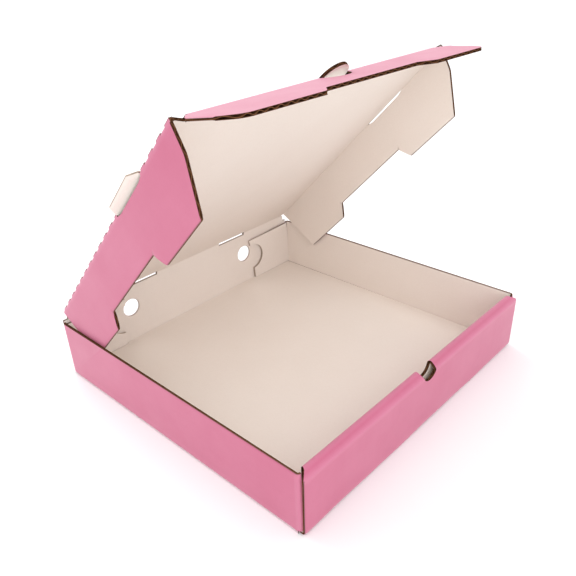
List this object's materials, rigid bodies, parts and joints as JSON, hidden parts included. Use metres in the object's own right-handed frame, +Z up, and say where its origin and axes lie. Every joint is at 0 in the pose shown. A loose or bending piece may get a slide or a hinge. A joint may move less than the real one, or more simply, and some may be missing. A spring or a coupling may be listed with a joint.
{
  "type": "pizza box",
  "caption": "Folded corrugated-board box for a small pizza, with a hinged lid held half open, a tucking front flap and a rolled front wall.",
  "frame": {"origin": "centre of the tray's footprint, on the surface that the box stands on", "axes": "+X along the lid's hinge, the front wall with its thumb notch at -Y, the hinge at +Y, +Z up; mirror-symmetric about X=0"},
  "size_m": [0.231, 0.226, 0.2114],
  "materials": {
    "tray_board": "matt pink print outside, bare off-white board inside",
    "lid_board": "matt pink print outside, bare off-white board inside",
    "flap_board": "matt pink print outside, bare off-white board inside"
  },
  "bodies": {
    "tray": {"tray": "tray_board"},
    "lid": {"lid": "lid_board"},
    "front_flap": {"front_flap": "flap_board"}
  },
  "joints": [
    {"name": "lid_hinge", "type": "hinge", "parent": "tray", "child": "lid", "pos_m": [0, 0.112, 0.0488], "axis": [-1, 0, 0], "range_deg": [-45.6, 134.4]},
    {"name": "front_flap_fold", "type": "hinge", "parent": "lid", "child": "front_flap", "pos_m": [0, -0.0392, 0.2032], "axis": [-1, 0, 0], "range_deg": [-55.7, 39.3]}
  ]
}
